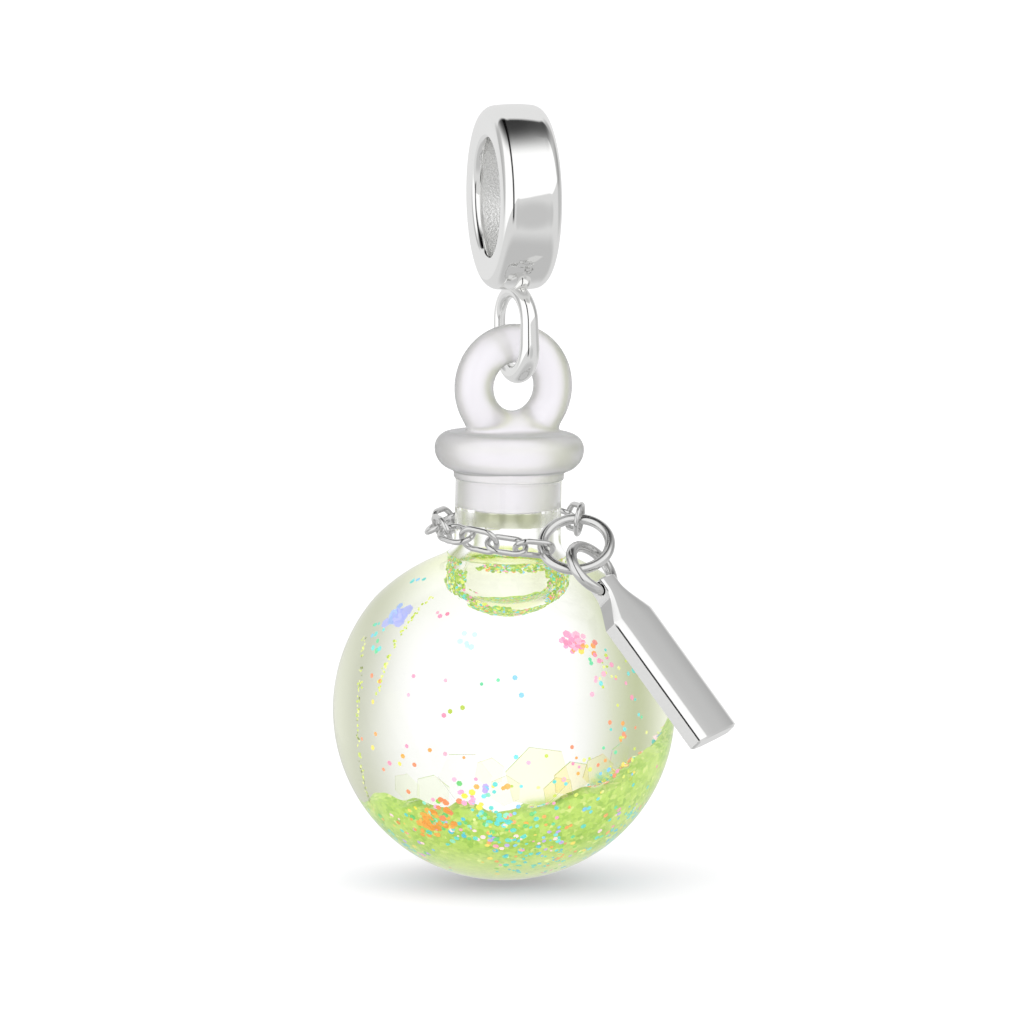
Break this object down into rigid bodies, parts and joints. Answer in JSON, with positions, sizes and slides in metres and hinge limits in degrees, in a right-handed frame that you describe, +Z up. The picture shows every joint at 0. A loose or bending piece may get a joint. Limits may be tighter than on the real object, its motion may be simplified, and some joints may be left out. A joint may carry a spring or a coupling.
{
  "type": "bottle pendant",
  "caption": "Round glass bottle of glitter fluid with a ring-topped stopper, a neck chain and a small silver tag, swinging from a wide-bore silver bead.",
  "frame": {"origin": "centre of the bead's bore", "axes": "+X along the bead's bore, +Z up, the bottle hangs down -Z and the charm is on the -Y side"},
  "size_m": [0.014, 0.0145, 0.0296],
  "materials": {
    "silver": "polished, with a faint plating of rhodium",
    "stopper_glass": "clear pressed glass, softly milky",
    "bottle_glass": "clear blown glass, fire-polished",
    "fluid": "clear syrupy fluid with loose glitter",
    "glitter": "settled fine glitter, sparkling"
  },
  "bodies": {
    "bead": {"bail": "silver"},
    "bottle": {"stopper": "stopper_glass", "bottle": "bottle_glass", "liquid": "fluid", "glitter_bed": "glitter", "neck_chain": "silver", "charm_ring": "silver", "tag_ring": "silver", "bottle_tag": "silver"}
  },
  "joints": [
    {"name": "bottle_swing", "type": "hinge", "parent": "bead", "child": "bottle", "pos_m": [0, 0, -0.00668], "axis": [0.2079, -0.9781, 0], "range_deg": [-60, 60]}
  ]
}
